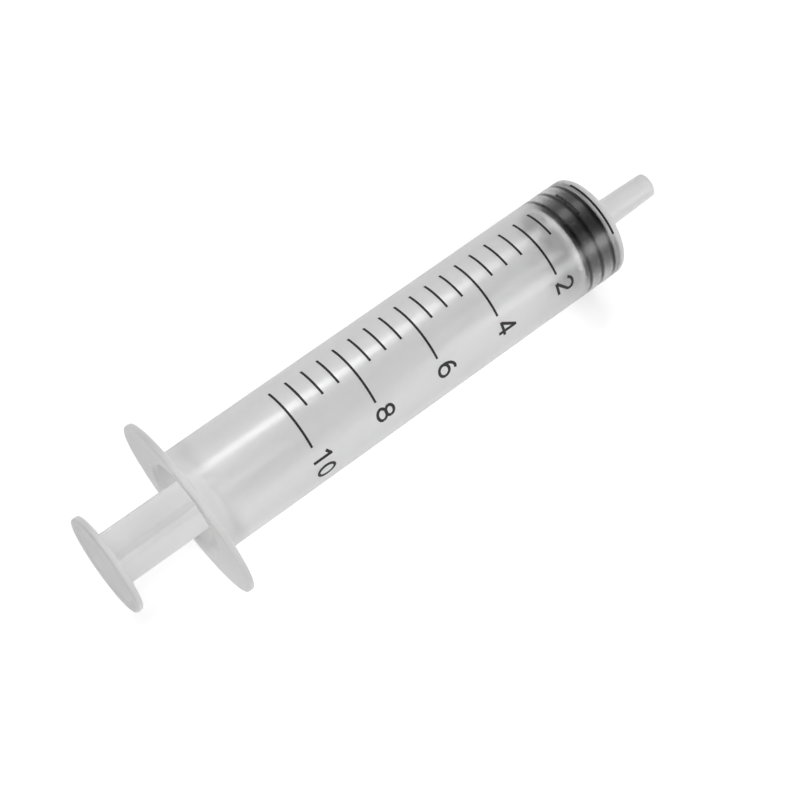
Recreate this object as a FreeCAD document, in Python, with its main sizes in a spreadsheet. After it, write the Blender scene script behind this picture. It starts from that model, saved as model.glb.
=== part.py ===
import FreeCAD, Part
import os

import Sketcher
from FreeCAD import Rotation, Vector

# Ten millilitre syringe with a central slip nozzle: barrel, plunger rod and rubber stopper.
# It lies on its side with its axis along X and the nozzle towards +X. Z is up, and the origin
# is under the middle of its length, on the surface that the finger flange rests on.
# Each piece is drawn from its own rear end at X = 0, and its placement then seats it.

# Driving dimensions, in millimetres unless the note gives another unit
SIZES = [
    ("bore_diameter", 14.9, "inside of the barrel"),
    ("barrel_wall", 0.95, "wall of the barrel tube"),
    ("bore_length", 75.9, "mouth to the front wall, which is the zero line"),
    ("front_wall", 1.4, "thickness of the closed front end"),
    ("shoulder_rise", 0.9, "height of the shallow cone that leads to the nozzle"),
    ("front_rounding", 0.9, "radius round the outer front corner"),
    ("nozzle_length", 12.1, "front corner plane to the tip of the nozzle"),
    ("nozzle_tip_diameter", 3.98, "small end of the nozzle cone"),
    ("nozzle_taper", 0.06, "loss of diameter for each millimetre of nozzle"),
    ("nozzle_root_rounding", 0.6, "fillet where the nozzle meets the shoulder"),
    ("nozzle_tip_chamfer", 0.2, "break on the nozzle's outer tip edge"),
    ("lumen_root_diameter", 2.4, "passage at the bore end"),
    ("lumen_tip_diameter", 2.0, "passage at the tip"),
    ("flange_wing", 6.6, "reach of the oval finger flange beyond the tube, along its long axis"),
    ("flange_margin", 0.8, "reach of the flange's two flats beyond the tube, above and below"),
    ("flange_flat_cut", 0.2, "depth that each flat takes off the oval"),
    ("flange_thickness", 1.1, "plate of the finger flange"),
    ("flange_edge_break", 0.25, "bevel on both edges of the flange"),
    ("flange_root_rounding", 0.4, "fillet between the flange and the tube"),
    ("mouth_chamfer", 0.6, "lead-in at the open end of the bore"),
    ("bead_setback", 3.2, "mouth to the middle of the retaining bead"),
    ("bead_width", 1.6, "foot of the retaining bead inside the mouth"),
    ("bead_height", 0.22, "how far the retaining bead stands into the bore"),
    ("stopper_length", 5.7, "rubber stopper without its nose cone"),
    ("seat_gap", 0.15, "stopper to the front wall when pushed home"),
    ("seal_clearance", 0.04, "sealing rings to the bore, all round"),
    ("ring_count", 3, "sealing rings on the stopper, a whole number"),
    ("ring_foot", 1.0, "width of a sealing ring at its foot"),
    ("ring_crest", 0.6, "width of a sealing ring at its crest"),
    ("groove_depth", 0.55, "bore wall to the body of the stopper between rings"),
    ("nose_land", 1.3, "radius of the flat at the middle of the nose"),
    ("pocket_lip", 1.3, "rubber lip that holds the rod's head in"),
    ("neck_diameter", 4.6, "rod between its guide disc and its head"),
    ("head_diameter", 7.0, "rod's mushroom head in the stopper"),
    ("head_land", 0.7, "straight rim of the head"),
    ("head_cone", 1.5, "cone in front of the head's rim"),
    ("head_tip_diameter", 3.0, "flat at the front of the head's cone"),
    ("snap_clearance", 0.08, "rod's neck and head to the rubber, all round"),
    ("guide_clearance", 0.13, "guide disc behind the stopper to the crest of the bead, all round"),
    ("guide_thickness", 0.9, "plate of the guide disc"),
    ("guide_edge_break", 0.2, "bevel on both edges of the guide disc"),
    ("stem_length", 82.0, "stem between the guide disc and the thumb rest"),
    ("rib_span", 8.3, "tip to tip over two opposite stem ribs"),
    ("rib_tip_thickness", 1.0, "stem rib at its tip"),
    ("rib_root_thickness", 1.35, "stem rib where the four meet"),
    ("stem_roll", 28.0, "turn of the ribs about the axis, in degrees"),
    ("thumb_diameter", 16.0, "thumb rest"),
    ("thumb_thickness", 1.15, "plate of the thumb rest"),
    ("thumb_edge_break", 0.3, "bevel on both edges of the thumb rest"),
    ("thumb_dish_diameter", 13.6, "shallow dish in the thumb rest's rear face"),
    ("thumb_dish_depth", 0.2, "depth of that dish"),
    ("stem_foot_reach", 0.9, "reach beyond the ribs of the low cone that they stand on"),
    ("stem_foot_rise", 0.9, "rise of that cone from the thumb rest's front face"),
]

# Lengths and radii that follow from the driving dimensions
BORE_RADIUS = "sizes.bore_diameter / 2"
TUBE_RADIUS = "(sizes.bore_diameter / 2 + sizes.barrel_wall)"
FLANGE_LENGTH = f"2 * ({TUBE_RADIUS} + sizes.flange_wing)"
FLANGE_WIDTH = f"2 * ({TUBE_RADIUS} + sizes.flange_margin + sizes.flange_flat_cut)"
# The root's fillet and the edge's bevel fit side by side on the margin, and two bevels on the rim
FLANGE_EDGE = "min(sizes.flange_edge_break; 0.4 * sizes.flange_margin; 0.4 * sizes.flange_thickness)"
FLANGE_ROOT = "min(sizes.flange_root_rounding; 0.55 * sizes.flange_margin)"
RIM_PLANE = "(sizes.bore_length + sizes.front_wall)"
NOZZLE_ROOT = "(sizes.bore_length + sizes.front_wall + sizes.shoulder_rise)"
NOZZLE_TIP = "(sizes.bore_length + sizes.front_wall + sizes.nozzle_length)"
NOZZLE_TIP_RADIUS = "sizes.nozzle_tip_diameter / 2"
NOZZLE_ROOT_RADIUS = (
    "(sizes.nozzle_tip_diameter"
    " + sizes.nozzle_taper * (sizes.nozzle_length - sizes.shoulder_rise)) / 2"
)
STOPPER_RADIUS = "(sizes.bore_diameter / 2 - sizes.groove_depth)"
CREST_RADIUS = "(sizes.bore_diameter / 2 - sizes.seal_clearance)"
HEAD_START = "(sizes.pocket_lip + sizes.snap_clearance)"
HEAD_END = "(sizes.pocket_lip + sizes.snap_clearance + sizes.head_land)"
HEAD_TIP = "(sizes.pocket_lip + sizes.snap_clearance + sizes.head_land + sizes.head_cone)"
GUIDE_RADIUS = "(sizes.bore_diameter / 2 - sizes.bead_height - sizes.guide_clearance)"
GUIDE_REAR = "(sizes.thumb_thickness + sizes.stem_length)"
GUIDE_FRONT = "(sizes.thumb_thickness + sizes.stem_length + sizes.guide_thickness)"

# Where the pieces sit: the rear faces of stopper and rod, measured along X from the barrel's
# mouth, the middle of the whole length from thumb rest to nozzle tip, and the axis above the
# surface, which the flange's lower flat rests on
STOPPER_REAR = "(sizes.bore_length - sizes.seat_gap - sizes.stopper_length)"
ROD_REAR = (
    "(sizes.bore_length - sizes.seat_gap - sizes.stopper_length - sizes.snap_clearance"
    " - sizes.guide_thickness - sizes.stem_length - sizes.thumb_thickness)"
)
MIDDLE = f"(({NOZZLE_TIP} + {ROD_REAR}) / 2)"
AXIS_HEIGHT = f"{TUBE_RADIUS} + sizes.flange_margin"


def make_sheet(doc):
    """Write the driving dimensions into a spreadsheet, one alias for each."""
    sheet = doc.addObject("Spreadsheet::Sheet", "sizes")
    for row, (alias, size, note) in enumerate(SIZES, start=1):
        sheet.set(f"A{row}", note)
        sheet.set(f"B{row}", str(size))
        sheet.setAlias(f"B{row}", alias)
    doc.recompute()
    return sheet


def origin_plane(body, role):
    """Return one of a body's own origin planes, such as XZ_Plane."""
    return next(item for item in body.Origin.OriginFeatures if item.Role == role)


def place_sketch(body, name, role):
    """Start a sketch on one of the body's origin planes."""
    sketch = body.newObject("Sketcher::SketchObject", name)
    sketch.AttachmentSupport = (origin_plane(body, role), [""])
    sketch.MapMode = "FlatFace"
    return sketch


def outline(body, name, role, corners):
    """Closed outline of straight runs, each corner locked to a pair of expressions.

    The first of a pair is the distance along the sketch's own X, the second along its Y.
    The lines start as a rough ring, and the constraints bring each corner to its place.
    """
    sketch = place_sketch(body, name, role)
    count = len(corners)
    ring = [Rotation(Vector(0, 0, 1), -360 * i / count).multVec(Vector(0, 50, 0)) for i in range(count)]
    for i in range(count):
        sketch.addGeometry(Part.LineSegment(ring[i], ring[(i + 1) % count]), False)
    for i in range(count):
        sketch.addConstraint(Sketcher.Constraint("Coincident", i, 2, (i + 1) % count, 1))
    for i, (along, out) in enumerate(corners):
        across = sketch.addConstraint(Sketcher.Constraint("DistanceX", -1, 1, i, 1, ring[i].x))
        upward = sketch.addConstraint(Sketcher.Constraint("DistanceY", -1, 1, i, 1, ring[i].y))
        sketch.setExpression(f"Constraints[{across}]", along)
        sketch.setExpression(f"Constraints[{upward}]", out)
    return sketch


def turned(body, name, corners, kind="PartDesign::Revolution"):
    """Turn an outline in the XZ plane about the X axis, to add or to cut."""
    sketch = outline(body, name + "Profile", "XZ_Plane", corners)
    feature = body.newObject(kind, name)
    feature.Profile = sketch
    feature.ReferenceAxis = (sketch, ["H_Axis"])
    feature.Angle = 360
    sketch.Visibility = False
    body.Document.recompute()
    return feature


def edges_where(shape, wanted):
    """Names of the edges of a shape for which the test holds."""
    return [f"Edge{i}" for i, edge in enumerate(shape.Edges, start=1) if wanted(edge)]


def ring_test(along, radius, slack=1e-4):
    """Test for a full circle about the X axis at one place and radius."""

    def wanted(edge):
        curve = edge.Curve
        if not isinstance(curve, Part.Circle):
            return False
        return abs(curve.Center.x - along) < slack and abs(curve.Radius - radius) < slack

    return wanted


def dress_edges(body, kind, name, edges, size):
    """Fillet or bevel edges of the body's last feature, by an expression for the size."""
    if not edges:
        raise ValueError(f"{name} found no edge")
    base = body.Tip
    feature = body.newObject(f"PartDesign::{kind}", name)
    feature.Base = (base, edges)
    feature.setExpression("Radius" if kind == "Fillet" else "Size", size)
    body.Document.recompute()


def round_edges(body, name, edges, radius):
    """Fillet named edges of the body's last feature."""
    dress_edges(body, "Fillet", name, edges, radius)


def bevel_edges(body, name, edges, size):
    """Bevel named edges of the body's last feature at 45 degrees."""
    dress_edges(body, "Chamfer", name, edges, size)


def removed(body, feature, before):
    """Check that a cutting feature took material away."""
    if feature.Shape.Volume >= before - 1e-6:
        raise ValueError(f"{feature.Label} cut nothing from {body.Label}")


def make_body(doc, label):
    """New body whose label is its node name."""
    body = doc.addObject("PartDesign::Body", "Body_" + label)
    body.Label = label
    return body


def oval(body, name, along, inset):
    """Ellipse square to the X axis, its long axis along Y, drawn in all round by an inset."""
    sketch = place_sketch(body, name, "YZ_Plane")
    sketch.setExpression(".AttachmentOffset.Base.z", along)
    sketch.addGeometry(Part.Ellipse(Vector(15, 0, 0), Vector(0, 9, 0), Vector(0, 0, 0)), False)
    sketch.exposeInternalGeometry(0)
    long_axis, short_axis = 1, 2
    sketch.addConstraint(Sketcher.Constraint("Coincident", 0, 3, -1, 1))
    sketch.addConstraint(Sketcher.Constraint("Horizontal", long_axis))
    for axis_line, start, size in ((long_axis, 30.0, FLANGE_LENGTH), (short_axis, 18.0, FLANGE_WIDTH)):
        index = sketch.addConstraint(Sketcher.Constraint("Distance", axis_line, start))
        sketch.setExpression(f"Constraints[{index}]", f"{size} - 2 * {inset}")
    return sketch


def cut_flat(body, name, side):
    """Cut the oval plate off level, above or below the axis, so that it does not roll."""
    flat = f"{side}({TUBE_RADIUS} + sizes.flange_margin)"
    beyond = f"{side}({FLANGE_WIDTH})"
    half = f"({FLANGE_LENGTH}) / 2"
    profile = outline(
        body,
        name + "Outline",
        "YZ_Plane",
        [(f"-{half}", flat), (half, flat), (half, beyond), (f"-{half}", beyond)],
    )
    before = body.Shape.Volume
    pocket = body.newObject("PartDesign::Pocket", name)
    pocket.Profile = profile
    pocket.Reversed = True
    pocket.setExpression("Length", "sizes.flange_thickness")
    body.Document.recompute()
    removed(body, pocket, before)


def make_barrel(doc, sheet):
    """Barrel moulded in one piece: tube, oval flange with two flats, front, nozzle and passage."""
    body = make_body(doc, "barrel")

    # The plate widens over its rear bevel, runs straight, and narrows again over its front bevel
    ovals = [
        oval(body, "OvalRear", "0", FLANGE_EDGE),
        oval(body, "OvalBehindRim", FLANGE_EDGE, "0"),
        oval(body, "OvalBeforeRim", f"sizes.flange_thickness - {FLANGE_EDGE}", "0"),
        oval(body, "OvalFront", "sizes.flange_thickness", FLANGE_EDGE),
    ]
    plate = body.newObject("PartDesign::AdditiveLoft", "FlangePlate")
    plate.Profile = ovals[0]
    plate.Sections = ovals[1:]
    plate.Ruled = True
    doc.recompute()
    for name, side in (("TopFlat", ""), ("LowerFlat", "-")):
        cut_flat(body, name, side)

    turned(
        body,
        "OuterForm",
        [
            ("0", "0"),
            ("0", TUBE_RADIUS),
            (RIM_PLANE, TUBE_RADIUS),
            (NOZZLE_ROOT, NOZZLE_ROOT_RADIUS),
            (NOZZLE_TIP, NOZZLE_TIP_RADIUS),
            (NOZZLE_TIP, "0"),
        ],
    )

    tube_radius = sheet.bore_diameter / 2 + sheet.barrel_wall
    rim_plane = sheet.bore_length + sheet.front_wall
    nozzle_root = rim_plane + sheet.shoulder_rise
    nozzle_tip = rim_plane + sheet.nozzle_length
    tip_radius = sheet.nozzle_tip_diameter / 2
    root_radius = tip_radius + sheet.nozzle_taper * (sheet.nozzle_length - sheet.shoulder_rise) / 2

    flange_root = edges_where(body.Shape, ring_test(sheet.flange_thickness, tube_radius))
    round_edges(body, "FlangeRoot", flange_root, FLANGE_ROOT)
    front_corner = edges_where(body.Shape, ring_test(rim_plane, tube_radius))
    round_edges(body, "FrontCorner", front_corner, "sizes.front_rounding")
    nozzle_foot = edges_where(body.Shape, ring_test(nozzle_root, root_radius))
    round_edges(body, "NozzleFoot", nozzle_foot, "sizes.nozzle_root_rounding")
    nozzle_end = edges_where(body.Shape, ring_test(nozzle_tip, tip_radius))
    bevel_edges(body, "NozzleEnd", nozzle_end, "sizes.nozzle_tip_chamfer")

    solid_volume = body.Shape.Volume
    bore = turned(
        body,
        "BoreAndPassage",
        [
            ("0", "0"),
            ("0", f"{BORE_RADIUS} + sizes.mouth_chamfer"),
            ("sizes.mouth_chamfer", BORE_RADIUS),
            ("sizes.bore_length", BORE_RADIUS),
            ("sizes.bore_length + sizes.shoulder_rise", "sizes.lumen_root_diameter / 2"),
            (NOZZLE_TIP, "sizes.lumen_tip_diameter / 2"),
            (NOZZLE_TIP, "0"),
        ],
        "PartDesign::Groove",
    )
    removed(body, bore, solid_volume)

    # The foot of the bead reaches half-way into the wall, so that the two are one moulding
    bead_foot = f"{BORE_RADIUS} + sizes.barrel_wall / 2"
    bead_crest = f"{BORE_RADIUS} - sizes.bead_height"
    turned(
        body,
        "RetainingBead",
        [
            ("sizes.bead_setback - sizes.bead_width / 2", bead_foot),
            ("sizes.bead_setback + sizes.bead_width / 2", bead_foot),
            ("sizes.bead_setback + sizes.bead_width / 2", BORE_RADIUS),
            ("sizes.bead_setback + sizes.bead_width / 6", bead_crest),
            ("sizes.bead_setback - sizes.bead_width / 6", bead_crest),
            ("sizes.bead_setback - sizes.bead_width / 2", BORE_RADIUS),
        ],
    )
    return body


def make_stopper(doc):
    """Rubber stopper: body with sealing rings, conical nose and a pocket for the rod's head."""
    body = make_body(doc, "stopper")
    # The nose runs parallel to the bore's end cone, from the ring's foot to the flat
    nose_slope = f"(sizes.shoulder_rise / ({BORE_RADIUS} - sizes.lumen_root_diameter / 2))"
    nose_rise = f"{nose_slope} * ({STOPPER_RADIUS} - sizes.nose_land)"
    turned(
        body,
        "StopperForm",
        [
            ("0", "0"),
            ("0", STOPPER_RADIUS),
            ("sizes.stopper_length", STOPPER_RADIUS),
            (f"sizes.stopper_length + {nose_rise}", "sizes.nose_land"),
            (f"sizes.stopper_length + {nose_rise}", "0"),
        ],
    )

    # One sealing ring at the rear end, repeated up to the front end
    foot_radius = f"{STOPPER_RADIUS} - sizes.groove_depth"
    flank = "(sizes.ring_foot - sizes.ring_crest) / 2"
    ring = turned(
        body,
        "SealingRing",
        [
            ("0", foot_radius),
            ("0", STOPPER_RADIUS),
            (flank, CREST_RADIUS),
            (f"{flank} + sizes.ring_crest", CREST_RADIUS),
            ("sizes.ring_foot", STOPPER_RADIUS),
            ("sizes.ring_foot", foot_radius),
        ],
    )
    rings = body.newObject("PartDesign::LinearPattern", "SealingRings")
    rings.Originals = [ring]
    rings.Direction = (ring.Profile[0], ["H_Axis"])
    rings.setExpression("Length", "sizes.stopper_length - sizes.ring_foot")
    rings.setExpression("Occurrences", "sizes.ring_count")
    body.Tip = rings
    doc.recompute()

    # The pocket keeps the same clearance from the rod's neck, head and cone
    solid_volume = body.Shape.Volume
    neck_hole = "sizes.neck_diameter / 2 + sizes.snap_clearance"
    head_hole = "sizes.head_diameter / 2 + sizes.snap_clearance"
    pocket = turned(
        body,
        "HeadPocket",
        [
            ("0", "0"),
            ("0", neck_hole),
            ("sizes.pocket_lip", neck_hole),
            ("sizes.pocket_lip", head_hole),
            (f"{HEAD_END} + sizes.snap_clearance", head_hole),
            (
                f"{HEAD_TIP} + sizes.snap_clearance",
                "sizes.head_tip_diameter / 2 + sizes.snap_clearance",
            ),
            (f"{HEAD_TIP} + sizes.snap_clearance", "0"),
        ],
        "PartDesign::Groove",
    )
    removed(body, pocket, solid_volume)
    return body


def make_plunger_rod(doc, sheet):
    """Plunger rod moulded in one piece: thumb rest, cross-ribbed stem, guide disc and head."""
    body = make_body(doc, "plunger_rod")

    # Cross section of the stem: four tapered ribs, corners in order round the axis
    span, tip, root = "sizes.rib_span / 2", "sizes.rib_tip_thickness / 2", "sizes.rib_root_thickness / 2"
    cross = outline(
        body,
        "StemSection",
        "YZ_Plane",
        [
            (f"-{tip}", span),
            (tip, span),
            (root, root),
            (span, tip),
            (span, f"-{tip}"),
            (root, f"-{root}"),
            (tip, f"-{span}"),
            (f"-{tip}", f"-{span}"),
            (f"-{root}", f"-{root}"),
            (f"-{span}", f"-{tip}"),
            (f"-{span}", tip),
            (f"-{root}", root),
        ],
    )
    stem = body.newObject("PartDesign::Pad", "Stem")
    stem.Profile = cross
    stem.setExpression("Length", GUIDE_FRONT)
    doc.recompute()

    turned(
        body,
        "ThumbRest",
        [
            ("0", "0"),
            ("0", "sizes.thumb_diameter / 2"),
            ("sizes.thumb_thickness", "sizes.thumb_diameter / 2"),
            ("sizes.thumb_thickness", "0"),
        ],
    )
    thumb_radius = sheet.thumb_diameter / 2
    rim = edges_where(body.Shape, ring_test(0, thumb_radius))
    rim += edges_where(body.Shape, ring_test(sheet.thumb_thickness, thumb_radius))
    bevel_edges(body, "ThumbRim", rim, "sizes.thumb_edge_break")

    solid_volume = body.Shape.Volume
    dish_radius = "sizes.thumb_dish_diameter / 2"
    dish = turned(
        body,
        "ThumbDish",
        [
            ("0", "0"),
            ("0", dish_radius),
            ("sizes.thumb_dish_depth", f"{dish_radius} - 3 * sizes.thumb_dish_depth"),
            ("sizes.thumb_dish_depth", "0"),
        ],
        "PartDesign::Groove",
    )
    removed(body, dish, solid_volume)

    turned(
        body,
        "StemFoot",
        [
            ("0.5 * sizes.thumb_thickness", "0"),
            ("0.5 * sizes.thumb_thickness", f"{span} + sizes.stem_foot_reach"),
            ("sizes.thumb_thickness", f"{span} + sizes.stem_foot_reach"),
            ("sizes.thumb_thickness + sizes.stem_foot_rise", "0"),
        ],
    )

    head_places = (HEAD_START, HEAD_END, HEAD_TIP)
    head_at = [f"({GUIDE_FRONT} + sizes.snap_clearance + {place})" for place in head_places]
    turned(
        body,
        "GuideNeckAndHead",
        [
            (GUIDE_REAR, "0"),
            (GUIDE_REAR, GUIDE_RADIUS),
            (GUIDE_FRONT, GUIDE_RADIUS),
            (GUIDE_FRONT, "sizes.neck_diameter / 2"),
            (head_at[0], "sizes.neck_diameter / 2"),
            (head_at[0], "sizes.head_diameter / 2"),
            (head_at[1], "sizes.head_diameter / 2"),
            (head_at[2], "sizes.head_tip_diameter / 2"),
            (head_at[2], "0"),
        ],
    )
    guide_rear = sheet.thumb_thickness + sheet.stem_length
    guide_radius = sheet.bore_diameter / 2 - sheet.bead_height - sheet.guide_clearance
    rim = edges_where(body.Shape, ring_test(guide_rear, guide_radius))
    rim += edges_where(body.Shape, ring_test(guide_rear + sheet.guide_thickness, guide_radius))
    bevel_edges(body, "GuideRim", rim, "sizes.guide_edge_break")
    return body


def seat(body, along, roll="0"):
    """Place a body on the axis, its rear end at a distance from the barrel's mouth."""
    body.Placement = FreeCAD.Placement(Vector(0, 0, 0), Rotation(Vector(1, 0, 0), 1))
    body.setExpression(".Placement.Base.x", f"{along} - {MIDDLE}")
    body.setExpression(".Placement.Base.z", AXIS_HEIGHT)
    body.setExpression(".Placement.Rotation.Angle", roll)


def check(doc, bodies):
    """Stop if any object failed to compute or any piece is not one sound solid."""
    for item in doc.Objects:
        if "Invalid" in item.State or "Error" in item.State:
            raise ValueError(f"{item.Label} failed: {item.State}")
    for body in bodies:
        shape = body.Shape
        if shape.isNull() or not shape.isValid() or len(shape.Solids) != 1:
            raise ValueError(f"{body.Label} is not one valid solid")


def main():
    """Build the three pieces, check them and write one STEP file for each."""
    os.makedirs("parts", exist_ok=True)
    doc = FreeCAD.newDocument("syringe")
    sheet = make_sheet(doc)
    barrel = make_barrel(doc, sheet)
    stopper = make_stopper(doc)
    rod = make_plunger_rod(doc, sheet)
    seat(barrel, "0")
    seat(stopper, STOPPER_REAR)
    seat(rod, ROD_REAR, "sizes.stem_roll")
    doc.recompute()
    bodies = [barrel, stopper, rod]
    check(doc, bodies)
    for body in bodies:
        body.Shape.exportStep(f"parts/{body.Label}.step")
        box = body.Shape.BoundBox
        print(f"{body.Label}: {body.Shape.Volume:.1f} mm3, X {box.XMin:.3f} to {box.XMax:.3f}")


main()
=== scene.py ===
"""Ten millilitre syringe with a central slip nozzle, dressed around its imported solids.

The barrel, the plunger rod and the stopper are rebuilt as smooth lathed skins in the place and
size of their solids, and the printed scale is laid on the barrel as thin ink. Lengths in this
file are in millimetres unless a name says otherwise, and become metres when a mesh is made.
"""

import logging
import math
from dataclasses import dataclass, field
from enum import Enum

import bpy
import numpy as np
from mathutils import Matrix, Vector


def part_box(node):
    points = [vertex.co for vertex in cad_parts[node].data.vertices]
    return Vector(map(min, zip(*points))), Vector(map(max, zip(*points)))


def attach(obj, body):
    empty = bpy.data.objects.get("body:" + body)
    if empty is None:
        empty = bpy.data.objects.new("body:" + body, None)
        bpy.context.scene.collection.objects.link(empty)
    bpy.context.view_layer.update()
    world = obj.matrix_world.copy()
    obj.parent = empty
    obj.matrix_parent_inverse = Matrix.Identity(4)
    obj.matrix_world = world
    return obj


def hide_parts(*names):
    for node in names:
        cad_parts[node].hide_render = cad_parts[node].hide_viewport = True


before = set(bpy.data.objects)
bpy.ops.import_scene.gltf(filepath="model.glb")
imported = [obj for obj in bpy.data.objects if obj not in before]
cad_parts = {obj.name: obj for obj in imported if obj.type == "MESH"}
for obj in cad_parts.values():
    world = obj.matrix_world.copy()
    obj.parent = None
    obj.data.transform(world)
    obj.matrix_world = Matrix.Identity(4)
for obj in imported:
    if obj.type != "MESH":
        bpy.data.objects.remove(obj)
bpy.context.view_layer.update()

MM = 0.001
LOG = logging.getLogger("syringe")


def linear(hex_colour: str) -> tuple[float, float, float, float]:
    """Turn an sRGB colour into the linear values that shaders use.

    Args:
        hex_colour: six hex digits, red, green and blue.

    Returns:
        Linear red, green and blue, with an alpha of one.
    """
    parts = np.array([int(hex_colour[i : i + 2], 16) for i in (0, 2, 4)]) / 255
    red, green, blue = np.where(parts <= 0.04045, parts / 12.92, ((parts + 0.055) / 1.055) ** 2.4)
    return float(red), float(green), float(blue), 1.0


def pattern_scale(size: float) -> float:
    """Scale of a noise on Object coordinates whose blotches are a given size.

    Args:
        size: width of one blotch in millimetres.

    Returns:
        Scale for the texture node, in blotches to the metre.
    """
    return 1 / (size * MM)


def add_node(
    tree: bpy.types.NodeTree,
    kind: str,
    values: dict[str | int, object] | None = None,
    links: dict[str | int, bpy.types.NodeSocket] | None = None,
    **settings: object,
) -> bpy.types.Node:
    """Add one node with its settings, plain values and links.

    Args:
        tree: node tree of a material or the world.
        kind: name of the node's class after ShaderNode.
        values: plain value for an input, by the input's name or number.
        links: output that feeds an input, by the input's name or number.
        settings: attributes of the node itself, such as operation.

    Returns:
        The new node.
    """
    node = tree.nodes.new("ShaderNode" + kind)
    for name, value in settings.items():
        setattr(node, name, value)
    for key, value in (values or {}).items():
        node.inputs[key].default_value = value
    for key, source in (links or {}).items():
        tree.links.new(source, node.inputs[key])
    return node


def new_material(name: str) -> tuple[bpy.types.Material, bpy.types.NodeTree, bpy.types.Node]:
    """Start a material that holds nothing but its output node.

    Args:
        name: name of the material.

    Returns:
        The material, its node tree and its output node.
    """
    material = bpy.data.materials.new(name)
    material.use_nodes = True
    tree = material.node_tree
    tree.nodes.clear()
    return material, tree, add_node(tree, "OutputMaterial")


def object_noise(
    tree: bpy.types.NodeTree,
    size: float,
    stretch: float = 1.0,
    detail: float = 3.0,
) -> bpy.types.NodeSocket:
    """Noise that keeps its place on the piece, drawn out along the syringe if wanted.

    Args:
        tree: node tree of the material.
        size: width of one blotch in millimetres.
        stretch: how many times longer than wide a blotch is, along X.
        detail: octaves of finer noise.

    Returns:
        The noise value, about a half on average.
    """
    place = add_node(tree, "TexCoord").outputs["Object"]
    if stretch != 1.0:
        place = add_node(
            tree, "Mapping", {"Scale": (1 / stretch, 1, 1)}, {"Vector": place}
        ).outputs["Vector"]
    noise = add_node(
        tree,
        "TexNoise",
        {"Scale": pattern_scale(size), "Detail": detail, "Roughness": 0.5},
        {"Vector": place},
    )
    return noise.outputs["Fac"]


def ranged(
    tree: bpy.types.NodeTree,
    value: bpy.types.NodeSocket,
    low: float,
    high: float,
    span: tuple[float, float] = (0.3, 0.7),
) -> bpy.types.NodeSocket:
    """Carry a value from its span to a new range, clamped at both ends.

    Args:
        tree: node tree of the material.
        value: the value to carry over.
        low: result at the start of the span.
        high: result at the end of the span.
        span: the values that become low and high.

    Returns:
        The value in its new range.
    """
    node = add_node(
        tree,
        "MapRange",
        {"From Min": span[0], "From Max": span[1], "To Min": low, "To Max": high},
        {"Value": value},
    )
    return node.outputs["Result"]


def axis_distance(tree: bpy.types.NodeTree, axis_height: float) -> bpy.types.NodeSocket:
    """Distance from the syringe's axis, in metres.

    The place is centred on the axis and flattened along it, and its length is taken.

    Args:
        tree: node tree of the material.
        axis_height: height of the syringe's axis.

    Returns:
        The distance.
    """
    place = add_node(tree, "TexCoord").outputs["Object"]
    flat = add_node(
        tree,
        "Mapping",
        {"Location": (0, 0, -axis_height * MM), "Scale": (0, 1, 1)},
        {"Vector": place},
    )
    length = add_node(tree, "VectorMath", links={0: flat.outputs[0]}, operation="LENGTH")
    return length.outputs["Value"]


def bump(
    tree: bpy.types.NodeTree,
    height: bpy.types.NodeSocket,
    depth: float,
) -> bpy.types.NodeSocket:
    """Turn a height pattern into a normal.

    Args:
        tree: node tree of the material.
        height: pattern between nought and one.
        depth: height of the pattern in millimetres.

    Returns:
        The bumped normal.
    """
    node = add_node(tree, "Bump", {"Distance": depth * MM}, {"Height": height})
    return node.outputs["Normal"]


def glaze(
    tree: bpy.types.NodeTree,
    output: bpy.types.Node,
    surface: bpy.types.Node,
    lamp_share: float,
) -> None:
    """Finish a see-through material so that lamps reach what lies behind it.

    For rays towards a lamp a share of the surface counts as clear, as thin plastic passes light
    that a refracting shader alone would stop.

    Args:
        tree: node tree of the material.
        output: the material's output node.
        surface: shader that every other ray meets.
        lamp_share: share of a lamp's light that gets through one skin.
    """
    path = add_node(tree, "LightPath")
    clear = add_node(tree, "BsdfTransparent", {"Color": (lamp_share, lamp_share, lamp_share, 1)})
    mixed = add_node(
        tree,
        "MixShader",
        links={0: path.outputs["Is Shadow Ray"], 1: surface.outputs[0], 2: clear.outputs[0]},
    )
    tree.links.new(mixed.outputs[0], output.inputs["Surface"])


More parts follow.
